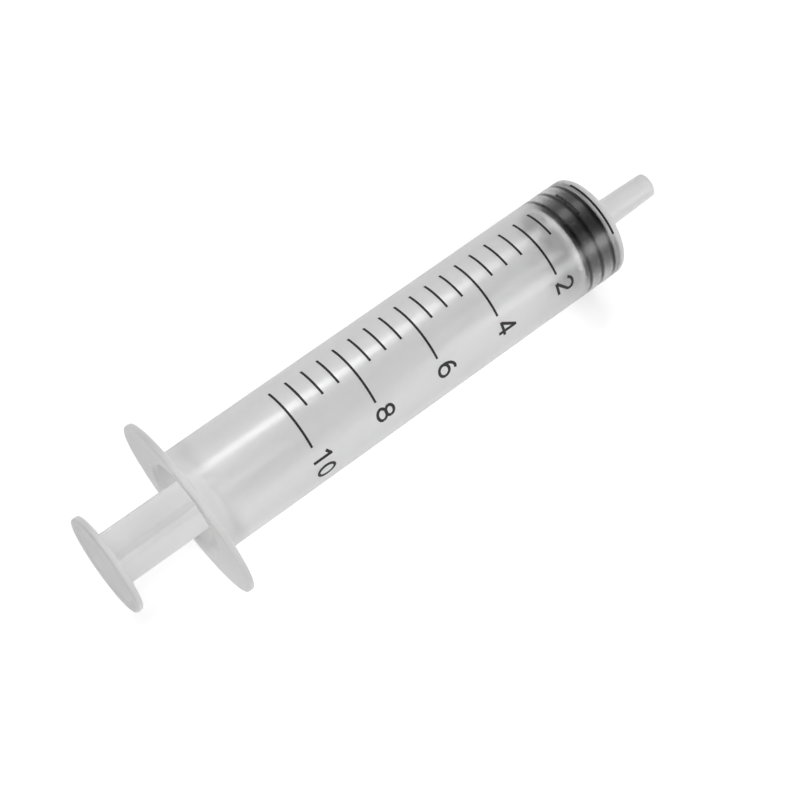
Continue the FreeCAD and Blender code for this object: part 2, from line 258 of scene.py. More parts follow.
@dataclass(frozen=True)
class ClearPolypropylene:
    """Natural polypropylene, moulded against polished steel: the barrel.

    The thin wall is clear with a grey cast, and its soft gloss blurs what lies behind it. Where
    it is thick, as on the flange, at the flange's root and on the nozzle, the same plastic looks
    milky.
    """

    thin: str = "EBEBEB"
    thick: str = "DEDEDE"
    ior: float = 1.49
    roughness: tuple[float, float] = (0.277, 0.287)
    thick_roughness: float = 0.38
    roughness_blotch: float = 5.0
    peel_size: float = 3.0
    peel_depth: float = 0.0006
    flow_size: float = 1.1
    flow_stretch: float = 14.0
    flow_veil: float = 0.005
    thick_clarity: float = 0.25
    scatter: float = 0.8
    scatter_depth: float = 3.0
    root_reach: tuple[float, float] = (1.2, 4.4)
    front_reach: tuple[float, float] = (-1.3, -0.9)
    lamp_share: float = 0.97

    def build(self, tube_start: float, tube_end: float) -> bpy.types.Material:
        """Make the material.

        Thickness goes from nought along the tube to one at the flange's root and at the front
        wall. Where it is one, light scatters under the skin.

        Args:
            tube_start: X where the tube begins, in front of the flange.
            tube_end: X where the tube ends, at the front corner.

        Returns:
            The finished material.
        """
        material, tree, output = new_material("clear_polypropylene")
        place = add_node(tree, "TexCoord").outputs["Object"]
        along = add_node(tree, "SeparateXYZ", links={0: place}).outputs["X"]
        root_start, root_end = (tube_start + reach for reach in self.root_reach)
        rear = ranged(tree, along, 1.0, 0.0, (root_start * MM, root_end * MM))
        front_start, front_end = (tube_end + reach for reach in self.front_reach)
        front = ranged(tree, along, 0.0, 1.0, (front_start * MM, front_end * MM))
        thickness = add_node(tree, "Math", links={0: rear, 1: front}, operation="MAXIMUM").outputs[0]
        colour = add_node(
            tree,
            "Mix",
            {6: linear(self.thin), 7: linear(self.thick)},
            {0: thickness},
            data_type="RGBA",
        )
        marks = object_noise(tree, self.flow_size, self.flow_stretch)
        flow = ranged(tree, marks, 1 - self.flow_veil, 1.0)
        clarity = add_node(
            tree,
            "Math",
            links={0: ranged(tree, thickness, 1.0, self.thick_clarity, (0, 1)), 1: flow},
            operation="MULTIPLY",
        )
        gloss = ranged(tree, object_noise(tree, self.roughness_blotch), *self.roughness)
        roughness = add_node(
            tree, "Mix", {3: self.thick_roughness}, {0: thickness, 2: gloss}, data_type="FLOAT"
        )
        surface = add_node(
            tree,
            "BsdfPrincipled",
            {
                "IOR": self.ior,
                "Subsurface Weight": self.scatter,
                "Subsurface Radius": (1.0, 1.0, 1.0),
                "Subsurface Scale": self.scatter_depth * MM,
            },
            {
                "Base Color": colour.outputs[2],
                "Transmission Weight": clarity.outputs[0],
                "Roughness": roughness.outputs[0],
                "Normal": bump(tree, object_noise(tree, self.peel_size), self.peel_depth),
            },
        )
        glaze(tree, output, surface, self.lamp_share)
        return material


@dataclass(frozen=True)
class MilkyPolypropylene:
    """Natural polypropylene in thicker sections: the plunger rod.

    Light scatters in it, so it looks like frosted milk glass, with a satin skin and faint flow marks
    along the ribs. The rear face of the thumb rest is coloured greyer than the rest of the rod, as
    painted shade where less light falls on it.
    """

    light: str = "ECECEC"
    deep: str = "E5E5E5"
    # painted shade: greyer colour for the thumb rest's rear face, where less light falls
    face: str = "D9D9D9"
    face_depth: tuple[float, float] = (0.25, 0.45)
    ior: float = 1.49
    clarity: float = 0.3
    scatter: float = 0.7
    scatter_depth: float = 3.0
    roughness: tuple[float, float] = (0.36, 0.46)
    cloud_size: float = 3.0
    cloud_stretch: float = 6.0
    grain_size: float = 0.5
    grain_depth: float = 0.002
    lamp_share: float = 0.7

    def build(self, rear: float) -> bpy.types.Material:
        """Make the material.

        Args:
            rear: X of the thumb rest's rear face.

        Returns:
            The finished material.
        """
        material, tree, output = new_material("milky_polypropylene")
        cloud = object_noise(tree, self.cloud_size, self.cloud_stretch)
        stem = add_node(
            tree,
            "Mix",
            {6: linear(self.deep), 7: linear(self.light)},
            {0: ranged(tree, cloud, 0.0, 1.0)},
            data_type="RGBA",
        )
        place = add_node(tree, "TexCoord").outputs["Object"]
        along = add_node(tree, "SeparateXYZ", links={0: place}).outputs["X"]
        # painted shade: the rear face and its dish, up to this depth, take the greyer colour instead
        # of the stem's
        shade_start, shade_end = (rear + depth for depth in self.face_depth)
        colour = add_node(
            tree,
            "Mix",
            {6: linear(self.face)},
            {0: ranged(tree, along, 0.0, 1.0, (shade_start * MM, shade_end * MM)), 7: stem.outputs[2]},
            data_type="RGBA",
        )
        surface = add_node(
            tree,
            "BsdfPrincipled",
            {
                "IOR": self.ior,
                "Transmission Weight": self.clarity,
                "Subsurface Weight": self.scatter,
                "Subsurface Radius": (1.0, 1.0, 1.0),
                "Subsurface Scale": self.scatter_depth * MM,
            },
            {
                "Base Color": colour.outputs[2],
                "Roughness": ranged(tree, cloud, *self.roughness),
                "Normal": bump(tree, object_noise(tree, self.grain_size), self.grain_depth),
            },
        )
        glaze(tree, output, surface, self.lamp_share)
        return material


@dataclass(frozen=True)
class OiledRubber:
    """Black moulded rubber with a film of oil: the stopper.

    The crests that seal against the bore are wet, smoother and nearly jet black; the grooves between
    them are a dull charcoal with a fine moulded grain. It is one rubber: the grooves' lighter colour
    is painted reflection of the bore wall, which shows where air lies between rubber and plastic, and
    the crests pressed to the wall are painted blacker for want of it. The oil takes most of the gloss
    off both.
    """

    crest: str = "030303"
    # painted reflection: lighter than the crests, for what the bore wall reflects over the grooves
    groove: str = "111012"
    crest_roughness: float = 0.15
    groove_roughness: float = 0.45
    gloss: float = 0.05
    grain_size: float = 0.25
    grain_depth: float = 0.01

    def build(
        self,
        axis_height: float,
        groove_radius: float,
        crest_radius: float,
    ) -> bpy.types.Material:
        """Make the material.

        Args:
            axis_height: height of the syringe's axis.
            groove_radius: radius at the floor of the grooves.
            crest_radius: radius at the crests of the rings.

        Returns:
            The finished material.
        """
        material, tree, output = new_material("oiled_rubber")
        radius = axis_distance(tree, axis_height)
        # nought on the groove floor, one on the crests; sets the painted reflection in the colour, and
        # the roughness
        crest_share = ranged(tree, radius, 0, 1, (groove_radius * MM, crest_radius * MM))
        grain = object_noise(tree, self.grain_size)
        # painted reflection: grooves coloured lighter than crests, for the bore wall's reflection over
        # the air between rubber and plastic
        colour = add_node(
            tree,
            "Mix",
            {6: linear(self.groove), 7: linear(self.crest)},
            {0: crest_share},
            data_type="RGBA",
        )
        surface = add_node(
            tree,
            "BsdfPrincipled",
            {"Specular IOR Level": self.gloss},
            {
                "Base Color": colour.outputs[2],
                "Roughness": ranged(tree, crest_share, self.groove_roughness, self.crest_roughness, (0, 1)),
                "Normal": bump(tree, grain, self.grain_depth),
            },
        )
        tree.links.new(surface.outputs[0], output.inputs["Surface"])
        return material


@dataclass(frozen=True)
class ScreenInk:
    """Black ink, screen printed on the barrel: matt, and a little uneven in its cover."""

    full: str = "0A0A0A"
    thin: str = "1E1E1E"
    blotch: float = 0.35
    roughness: float = 0.55
    film_depth: float = 0.004
    cover_span: tuple[float, float] = (0.45, 0.75)

    def build(self) -> bpy.types.Material:
        """Make the material."""
        material, tree, output = new_material("screen_ink")
        cover = object_noise(tree, self.blotch)
        colour = add_node(
            tree,
            "Mix",
            {6: linear(self.full), 7: linear(self.thin)},
            {0: ranged(tree, cover, 0.0, 1.0, self.cover_span)},
            data_type="RGBA",
        )
        surface = add_node(
            tree,
            "BsdfPrincipled",
            {"Roughness": self.roughness},
            {"Base Color": colour.outputs[2], "Normal": bump(tree, cover, self.film_depth)},
        )
        tree.links.new(surface.outputs[0], output.inputs["Surface"])
        return material


def quads(rows: int, columns: int, wrap_rows: bool) -> np.ndarray:
    """Corner numbers of the faces of a grid whose columns close on themselves.

    Face (i, j) joins points (i, j), (i + 1, j), (i + 1, j + 1) and (i, j + 1), counted row by
    row, with j + 1 taken round the ring, and i + 1 too if the rows close.

    Args:
        rows: rows of points.
        columns: points in a row.
        wrap_rows: whether the last row joins the first.

    Returns:
        One line of four point numbers for each face.
    """
    i, j = np.meshgrid(np.arange(rows if wrap_rows else rows - 1), np.arange(columns), indexing="ij")
    below, beside = (i + 1) % rows, (j + 1) % columns
    corners = [i * columns + j, below * columns + j, below * columns + beside, i * columns + beside]
    return np.stack([c.ravel() for c in corners], axis=1)


def enclosed_volume(points: np.ndarray, faces: list[list[int]]) -> float:
    """Signed volume inside a closed mesh, positive where its faces point outwards.

    Each face is cut into triangles from its first corner, and a sixth of the triple product of
    each triangle's corners is added up.

    Args:
        points: corners of the mesh.
        faces: corner numbers of each face.

    Returns:
        The volume.
    """
    total = 0.0
    for size in {len(face) for face in faces}:
        ring = points[np.array([face for face in faces if len(face) == size])]
        for k in range(1, size - 1):
            total += np.einsum("ij,ij->", ring[:, 0], np.cross(ring[:, k], ring[:, k + 1])) / 6
    return total


def mesh_object(
    name: str,
    points: np.ndarray,
    faces: list[list[int]],
    smooth: bool,
) -> bpy.types.Object:
    """Make an object from points in millimetres, with its faces turned outwards.

    Args:
        name: name of the piece.
        points: corners of the mesh.
        faces: corner numbers of each face.
        smooth: whether its faces are shaded smooth.

    Returns:
        The object, which stands at the origin.
    """
    if enclosed_volume(points, faces) < 0:
        faces = [face[::-1] for face in faces]
    mesh = bpy.data.meshes.new(name)
    mesh.from_pydata((points * MM).tolist(), [], faces)
    mesh.polygons.foreach_set("use_smooth", np.full(len(faces), smooth))
    mesh.update()
    piece = bpy.data.objects.new(name, mesh)
    bpy.context.scene.collection.objects.link(piece)
    return piece


def rounded(
    corners: list[tuple[float, float, float]],
    closed: bool = False,
    support: float = 0.12,
    step: float = 15.0,
    room: float = 2.5,
) -> np.ndarray:
    """Profile of straight runs with an arc at each corner.

    An arc starts radius x tan(half the turn) before its corner and ends as far after it. Beside
    each arc the straight run gets one more point, which keeps smooth shading flat in between.

    Args:
        corners: along, out and radius for each corner.
        closed: whether the last corner joins the first.
        support: distance of the added points from the arcs.
        step: turn between two points of an arc, in degrees.
        room: shortest run that gets an added point, in reaches of the arc and that point.

    Returns:
        Points of the profile, one line each of along and out.
    """
    places = np.array([c[:2] for c in corners])
    count = len(places)
    points: list[np.ndarray] = []
    for i, (_, _, radius) in enumerate(corners):
        at = places[i]
        if not closed and i in (0, count - 1):
            points.append(at[None])
            continue
        back, ahead = places[i - 1] - at, places[(i + 1) % count] - at
        reach_back, reach_ahead = np.linalg.norm(back), np.linalg.norm(ahead)
        back, ahead = back / reach_back, ahead / reach_ahead
        turn = math.pi - math.acos(np.clip(back @ ahead, -1, 1))
        trim = radius * math.tan(turn / 2)
        centre = at + (back + ahead) / np.linalg.norm(back + ahead) * radius / math.cos(turn / 2)
        first = at + back * trim - centre
        second = at + ahead * trim - centre
        t = np.linspace(0, 1, max(2, math.ceil(math.degrees(turn) / step) + 1))[:, None]
        arc = (np.sin((1 - t) * turn) * first + np.sin(t * turn) * second) / math.sin(turn) + centre
        if reach_back > room * (trim + support):
            points.append((at + back * (trim + support))[None])
        points.append(arc)
        if reach_ahead > room * (trim + support):
            points.append((at + ahead * (trim + support))[None])
    return np.concatenate(points)


def rings(profile: np.ndarray, columns: int) -> np.ndarray:
    """Carry a profile round the axis as true circles.

    Args:
        profile: along and out for each ring.
        columns: points in a ring.

    Returns:
        Grid of along and out, one row for each ring.
    """
    return np.repeat(profile[:, None, :], columns, axis=1)


def lathe(
    name: str,
    grid: np.ndarray,
    angles: np.ndarray,
    axis: tuple[float, float],
    closed: bool,
) -> bpy.types.Object:
    """Turn a grid of along and out into a closed skin about the syringe's axis.

    A point lies at X = rear + along, Y = out x cos(angle), Z = axis height + out x sin(angle).
    Where the skin isn't closed on itself, its first and last rows shrink to one point each.

    Args:
        name: name of the piece.
        grid: along and out for each row and column.
        angles: angle of each column, from +Y towards +Z, in radians.
        axis: X of the piece's rear end, and height of the axis.
        closed: whether the last row joins the first.

    Returns:
        The piece.
    """
    along, out = grid[..., 0], grid[..., 1]
    points = np.stack(
        [axis[0] + along, out * np.cos(angles), axis[1] + out * np.sin(angles)], axis=-1
    )
    rows, columns = out.shape
    if closed:
        return mesh_object(name, points.reshape(-1, 3), quads(rows, columns, True).tolist(), True)
    body = points[1:-1].reshape(-1, 3)
    faces = quads(rows - 2, columns, False).tolist()
    ring = np.arange(columns)
    beside = (ring + 1) % columns
    first, last = len(body), len(body) + 1
    end = (rows - 3) * columns
    faces += np.stack([np.full(columns, first), ring, beside], axis=1).tolist()
    faces += np.stack([np.full(columns, last), end + beside, end + ring], axis=1).tolist()
    return mesh_object(name, np.concatenate([body, points[:1, 0], points[-1:, 0]]), faces, True)


@dataclass
class Barrel:
    """Barrel: tube, oval finger flange, closed front, slip nozzle and its passage.

    The rear end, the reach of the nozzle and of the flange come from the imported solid.
    """

    node: str = "barrel"
    body: str = "barrel_body"
    columns: int = 256
    bore_radius: float = 7.45
    wall: float = 0.95
    bore_length: float = 75.9
    front_wall: float = 1.4
    shoulder_rise: float = 0.9
    front_rounding: float = 0.9
    nozzle_root_radius: float = 2.326
    nozzle_tip_radius: float = 1.99
    nozzle_root_rounding: float = 0.6
    nozzle_tip_rounding: float = 0.2
    lumen_root_radius: float = 1.2
    lumen_tip_radius: float = 1.0
    flange_thickness: float = 1.1
    flange_flat_cut: float = 0.2
    flange_edge_rounding: float = 0.3
    flange_root_rounding: float = 0.4
    mouth_chamfer: float = 0.6
    bead_setback: float = 3.2
    bead_width: float = 1.6
    bead_height: float = 0.22
    inner_rounding: float = 0.3
    passage_tip_rounding: float = 0.1
    passage_root_rounding: float = 0.2
    mouth_rounding: float = 0.1
    finish: ClearPolypropylene = field(default_factory=ClearPolypropylene)

    def __post_init__(self) -> None:
        """Read the barrel's place and reach from the frame."""
        low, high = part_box(self.node)
        self.mouth = low.x / MM
        self.length = (high.x - low.x) / MM
        self.flange_reach = high.y / MM
        self.axis_height = (low.z + high.z) / 2 / MM
        self.tube_radius = self.bore_radius + self.wall
        self.rim_plane = self.bore_length + self.front_wall

    @property
    def bore_end(self) -> float:
        """X of the front end of the bore."""
        return self.mouth + self.bore_length

    def profile(self) -> np.ndarray:
        """Closed profile, from the tip of the passage through the bore and back outside.

        Returns:
            Points of the profile, with the flange drawn as far out as its long axis.
        """
        bead_rear = self.bead_setback - self.bead_width / 2
        bead_front = self.bead_setback + self.bead_width / 2
        crest = self.bore_radius - self.bead_height
        return rounded(
            [
                (self.length, self.lumen_tip_radius, self.passage_tip_rounding),
                (
                    self.bore_length + self.shoulder_rise,
                    self.lumen_root_radius,
                    self.passage_root_rounding,
                ),
                (self.bore_length, self.bore_radius, self.inner_rounding),
                (bead_front, self.bore_radius, self.inner_rounding),
                (bead_front - self.bead_width / 3, crest, self.inner_rounding),
                (bead_rear + self.bead_width / 3, crest, self.inner_rounding),
                (bead_rear, self.bore_radius, self.inner_rounding),
                (self.mouth_chamfer, self.bore_radius, self.mouth_rounding),
                (0, self.bore_radius + self.mouth_chamfer, self.mouth_rounding),
                (0, self.flange_reach, self.flange_edge_rounding),
                (self.flange_thickness, self.flange_reach, self.flange_edge_rounding),
                (self.flange_thickness, self.tube_radius, self.flange_root_rounding),
                (self.rim_plane, self.tube_radius, self.front_rounding),
                (
                    self.rim_plane + self.shoulder_rise,
                    self.nozzle_root_radius,
                    self.nozzle_root_rounding,
                ),
                (self.length, self.nozzle_tip_radius, self.nozzle_tip_rounding),
            ],
            closed=True,
        )

    def oval(self, grid: np.ndarray, angles: np.ndarray) -> np.ndarray:
        """Draw the round flange in to its oval outline with two flats.

        The oval is 1 / sqrt((cos / long half)^2 + (sin / short half)^2), and a flat lies at its
        height / sin. The full difference from the circle is taken off at the rim, less further
        in, and none at the flange's root.

        Args:
            grid: along and out for each row and column.
            angles: angle of each column.

        Returns:
            The grid with the oval flange.
        """
        long_half, flat_height = self.flange_reach, self.axis_height
        short_half = flat_height + self.flange_flat_cut
        outline = 1 / np.hypot(np.cos(angles) / long_half, np.sin(angles) / short_half)
        outline = np.minimum(outline, flat_height / np.maximum(np.abs(np.sin(angles)), 1e-6))
        root = self.tube_radius + self.flange_root_rounding
        rim = long_half - self.flange_edge_rounding
        share = np.clip((grid[..., 1] - root) / (rim - root), 0, 1)
        shaped = grid.copy()
        shaped[..., 1] -= share * (long_half - outline)
        return shaped

    def build(self) -> bpy.types.Object:
        """Make the barrel, dress it and stand it in for its solid."""
        angles = np.linspace(0, 2 * math.pi, self.columns, endpoint=False)
        grid = self.oval(rings(self.profile(), self.columns), angles)
        piece = lathe("barrel_skin", grid, angles, (self.mouth, self.axis_height), closed=True)
        tube_start, tube_end = self.mouth + self.flange_thickness, self.mouth + self.rim_plane
        piece.data.materials.append(self.finish.build(tube_start, tube_end))
        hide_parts(self.node)
        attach(piece, self.body)
        return piece


@dataclass
class PlungerRod:
    """Plunger rod: thumb rest, cross-ribbed stem, guide disc, neck and mushroom head.

    Rib rounding and root rounding are powers: the higher, the sharper. Row gaps place the
    stem's rows beside the cone, further along, and beside the fillet at the guide disc. A crowd
    is how much denser the columns lie at a place, and its spread in radians.
    """

    node: str = "plunger_rod"
    body: str = "rod_body"
    columns: int = 288
    thumb_thickness: float = 1.15
    thumb_rounding: float = 0.3
    dish_radius: float = 6.8
    dish_depth: float = 0.2
    dish_slope: float = 3.0
    dish_floor_rounding: float = 0.5
    dish_rim_rounding: float = 0.3
    stem_length: float = 82.0
    rib_reach: float = 4.15
    rib_tip_half: float = 0.5
    rib_root_half: float = 0.675
    rib_rounding: float = 14.0
    root_rounding: float = 10.0
    rib_fillet: float = 0.35
    stem_roll: float = 28.0
    foot_reach: float = 0.9
    foot_rise: float = 0.9
    foot_clear: float = 0.1
    row_gaps: tuple[float, float, float] = (0.1, 1.0, 0.15)
    guide_radius: float = 7.1
    guide_thickness: float = 0.9
    guide_rounding: float = 0.2
    guide_clear: float = 0.6
    neck_radius: float = 2.3
    neck_length: float = 1.46
    neck_rounding: float = 0.2
    head_radius: float = 3.5
    head_land: float = 0.7
    head_cone: float = 1.5
    head_tip_radius: float = 1.5
    head_rear_rounding: float = 0.1
    head_rim_rounding: float = 0.2
    head_tip_rounding: float = 0.3
    tip_crowd: tuple[float, float] = (9.0, 0.03)
    root_crowd: tuple[float, float] = (2.0, 0.12)
    finish: MilkyPolypropylene = field(default_factory=MilkyPolypropylene)

    def __post_init__(self) -> None:
        """Read the rod's place and the thumb rest's reach from the frame."""
        low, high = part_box(self.node)
        self.rear = low.x / MM
        self.thumb_radius = (high.z - low.z) / 2 / MM
        self.axis_height = (low.z + high.z) / 2 / MM

    def column_angles(self) -> np.ndarray:
        """Angles of the columns, closer together where the ribs have their tips and roots.

        The spacing follows the inverse of a density: one all round, with a hump at each tip
        corner and each root.
        """
        fine = np.linspace(0, 2 * math.pi, 7201)
        quarter = math.pi / 2
        turn = (fine - math.radians(self.stem_roll) + quarter / 2) % quarter - quarter / 2
        tip = math.atan2(self.rib_tip_half, self.rib_reach)
        crowd, spread = self.tip_crowd
        density = 1 + crowd * np.exp(-(((np.abs(turn) - tip) / spread) ** 2))
        crowd, spread = self.root_crowd
        density += crowd * np.exp(-(((np.abs(turn) - quarter / 2) / spread) ** 2))
        share = np.concatenate([[0], np.cumsum((density[1:] + density[:-1]) / 2)])
        return np.interp(np.arange(self.columns) / self.columns, share / share[-1], fine)

    def cross(self, angles: np.ndarray, swell: float = 0.0) -> np.ndarray:
        """Outline of the four ribs as a radius for each angle.

        One bar through the axis ends where its end or its tapered side is met first, softened
        by a high power mean so that its edges are broken. The cross is the larger of the two
        bars, softened in the same way in the roots.

        Args:
            angles: angle of each column.
            swell: how far the outline is moved outwards.

        Returns:
            Radius of the outline at each angle.
        """
        reach = self.rib_reach + swell
        slope = (self.rib_tip_half - self.rib_root_half) / (self.rib_reach - self.rib_root_half)
        half_at_axis = self.rib_root_half - slope * self.rib_root_half + swell
        bars = []
        for quarter in (0.0, math.pi / 2):
            turned = angles - math.radians(self.stem_roll) - quarter
            end = np.abs(np.cos(turned)) / reach
            side = (np.abs(np.sin(turned)) - slope * np.abs(np.cos(turned))) / half_at_axis
            bars.append((end**self.rib_rounding + side**self.rib_rounding) ** (-1 / self.rib_rounding))
        power = self.root_rounding
        return (bars[0] ** power + bars[1] ** power) ** (1 / power)

    def stem(self, angles: np.ndarray) -> np.ndarray:
        """Rows of the ribs, from the cone on the thumb rest to the guide disc.

        On the cone, along rises in step with the distance from the cone's foot.

        Args:
            angles: angle of each column.

        Returns:
            Grid of along and out.
        """
        foot = self.rib_reach + self.foot_reach
        outline = self.cross(angles)
        rows = []
        for share in np.linspace(0, 1, 6):
            out = foot + share * (outline - foot)
            rows.append([self.thumb_thickness + self.foot_rise * (1 - out / foot), out])
        start = self.thumb_thickness + self.foot_rise
        end = self.thumb_thickness + self.stem_length
        fillet = self.rib_fillet
        close, further, beside = self.row_gaps
        front = end - fillet
        middle = (start + end) / 2
        for along in (start + close, start + further, middle, front - further, front - beside):
            rows.append([np.full_like(angles, along), outline])
        for turn in np.radians([0, 22.5, 45, 67.5, 90]):
            swell = fillet * (1 - math.cos(turn))
            along = end - fillet * (1 - math.sin(turn))
            rows.append([np.full_like(angles, along), self.cross(angles, swell)])
        return np.array(rows).transpose(0, 2, 1)

    def build(self) -> bpy.types.Object:
        """Make the rod, dress it and stand it in for its solid."""
        angles = self.column_angles()
        thick, edge = self.thumb_thickness, self.thumb_rounding
        floor = self.dish_radius - self.dish_slope * self.dish_depth
        thumb = rounded(
            [
                (self.dish_depth, 0, 0),
                (self.dish_depth, floor, self.dish_floor_rounding),
                (0, self.dish_radius, self.dish_rim_rounding),
                (0, self.thumb_radius, edge),
                (thick, self.thumb_radius, edge),
                (thick, self.rib_reach + self.foot_reach + self.foot_clear, 0),
            ]
        )
        guide = thick + self.stem_length
        neck = guide + self.guide_thickness
        head = neck + self.neck_length
        tip = head + self.head_land + self.head_cone
        front = rounded(
            [
                (guide, self.rib_reach + self.guide_clear, 0),
                (guide, self.guide_radius, self.guide_rounding),
                (neck, self.guide_radius, self.guide_rounding),
                (neck, self.neck_radius, self.neck_rounding),
                (head, self.neck_radius, self.neck_rounding),
                (head, self.head_radius, self.head_rear_rounding),
                (head + self.head_land, self.head_radius, self.head_rim_rounding),
                (tip, self.head_tip_radius, self.head_tip_rounding),
                (tip, 0, 0),
            ]
        )
        grid = np.concatenate(
            [rings(thumb, self.columns), self.stem(angles), rings(front, self.columns)]
        )
        piece = lathe("plunger_rod_skin", grid, angles, (self.rear, self.axis_height), closed=False)
        piece.data.materials.append(self.finish.build(self.rear))
        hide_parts(self.node)
        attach(piece, self.body)
        return piece


@dataclass
class Stopper:
    """Rubber stopper: three sealing rings, a low conical nose and a pocket for the rod's head.

    The solid's rings stop a little short of the bore. The real ones are squeezed against it, with
    no air between rubber and plastic, so here their crests reach a hair into the wall.
    """

    node: str = "stopper"
    body: str = "stopper_body"
    columns: int = 192
    body_radius: float = 6.9
    body_length: float = 5.7
    ring_count: int = 3
    ring_foot: float = 1.0
    ring_crest: float = 0.6
    squeeze: float = 0.08
    nose_land: float = 1.3
    pocket_lip: float = 1.3
    pocket_neck: float = 2.38
    pocket_head: float = 3.58
    pocket_land: float = 2.24
    pocket_tip: float = 3.66
    pocket_tip_radius: float = 1.58
    pocket_rounding: float = 0.2
    lip_rounding: float = 0.1
    ring_foot_rounding: float = 0.1
    ring_crest_rounding: float = 0.14
    nose_rounding: float = 0.5
    support: float = 0.08
    finish: OiledRubber = field(default_factory=OiledRubber)

    def __post_init__(self) -> None:
        """Read the stopper's place and reach from the frame."""
        low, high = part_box(self.node)
        self.rear = low.x / MM
        self.length = (high.x - low.x) / MM
        self.crest_radius = (high.z - low.z) / 2 / MM + self.squeeze
        self.axis_height = (low.z + high.z) / 2 / MM

    def build(self) -> bpy.types.Object:
        """Make the stopper, dress it and stand it in for its solid."""
        corners = [
            (self.pocket_tip, 0, 0),
            (self.pocket_tip, self.pocket_tip_radius, self.pocket_rounding),
            (self.pocket_land, self.pocket_head, self.pocket_rounding),
            (self.pocket_lip, self.pocket_head, self.lip_rounding),
            (self.pocket_lip, self.pocket_neck, self.pocket_rounding),
            (0, self.pocket_neck, self.pocket_rounding),
        ]
        flank = (self.ring_foot - self.ring_crest) / 2
        pitch = (self.body_length - self.ring_foot) / (self.ring_count - 1)
        for start in pitch * np.arange(self.ring_count):
            corners += [
                (start, self.body_radius, self.ring_foot_rounding),
                (start + flank, self.crest_radius, self.ring_crest_rounding),
                (
                    start + flank + self.ring_crest,
                    self.crest_radius,
                    self.ring_crest_rounding,
                ),
                (start + self.ring_foot, self.body_radius, self.ring_foot_rounding),
            ]
        corners += [(self.length, self.nose_land, self.nose_rounding), (self.length, 0, 0)]
        angles = np.linspace(0, 2 * math.pi, self.columns, endpoint=False)
        grid = rings(rounded(corners, support=self.support), self.columns)
        piece = lathe("stopper_skin", grid, angles, (self.rear, self.axis_height), closed=False)
        piece.data.materials.append(
            self.finish.build(self.axis_height, self.body_radius, self.crest_radius)
        )
        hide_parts(self.node)
        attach(piece, self.body)
        return piece


class Stroke(Enum):
    """Kinds of pen stroke that the digits are drawn with."""

    LINE = "line"
    ARC = "arc"


@dataclass(frozen=True)
class PenStroke:
    """One stroke of a digit, in a cell one wide and one high, with nought at its lower left.

    A line runs from (a, b) to (c, d). An arc is centred at (a, b) with half axes c and d, and
    runs from start to end degrees, anticlockwise.
    """

    kind: Stroke
    a: float
    b: float
    c: float
    d: float
    start: float = 0.0
    end: float = 360.0

    def points(self, width: float, height: float) -> np.ndarray:
        """Points along the stroke.

        Args:
            width: width of the digit.
            height: height of the digit.

        Returns:
            Across and up for each point, in millimetres.
        """
        t = np.linspace(0, 1, 25)
        if self.kind is Stroke.LINE:
            across, up = self.a + t * (self.c - self.a), self.b + t * (self.d - self.b)
        else:
            turn = np.radians(self.start + t * (self.end - self.start))
            across, up = self.a + self.c * np.cos(turn), self.b + self.d * np.sin(turn)
        return np.stack([across * width, up * height], axis=1)


DIGITS: dict[str, list[PenStroke]] = {
    "0": [PenStroke(Stroke.ARC, 0.5, 0.5, 0.44, 0.5)],
    "1": [
        PenStroke(Stroke.LINE, 0.55, -0.08, 0.55, 1.08),
        PenStroke(Stroke.LINE, 0.55, 1.0, 0.12, 0.8),
    ],
    "2": [
        PenStroke(Stroke.ARC, 0.5, 0.72, 0.46, 0.28, 170.0, -38.0),
        PenStroke(Stroke.LINE, 0.86, 0.55, 0.03, 0.02),
        PenStroke(Stroke.LINE, 0.02, 0.0, 1.0, 0.0),
    ],
    "4": [
        PenStroke(Stroke.LINE, 0.74, -0.08, 0.74, 1.08),
        PenStroke(Stroke.LINE, 0.72, 1.02, 0.02, 0.25),
        PenStroke(Stroke.LINE, -0.06, 0.25, 1.08, 0.25),
    ],
    "6": [
        PenStroke(Stroke.ARC, 0.5, 0.31, 0.47, 0.31),
        PenStroke(Stroke.ARC, 0.62, 0.40, 0.59, 0.60, 180.0, 72.0),
    ],
    "8": [
        PenStroke(Stroke.ARC, 0.5, 0.76, 0.42, 0.24),
        PenStroke(Stroke.ARC, 0.5, 0.27, 0.49, 0.27),
    ],
}


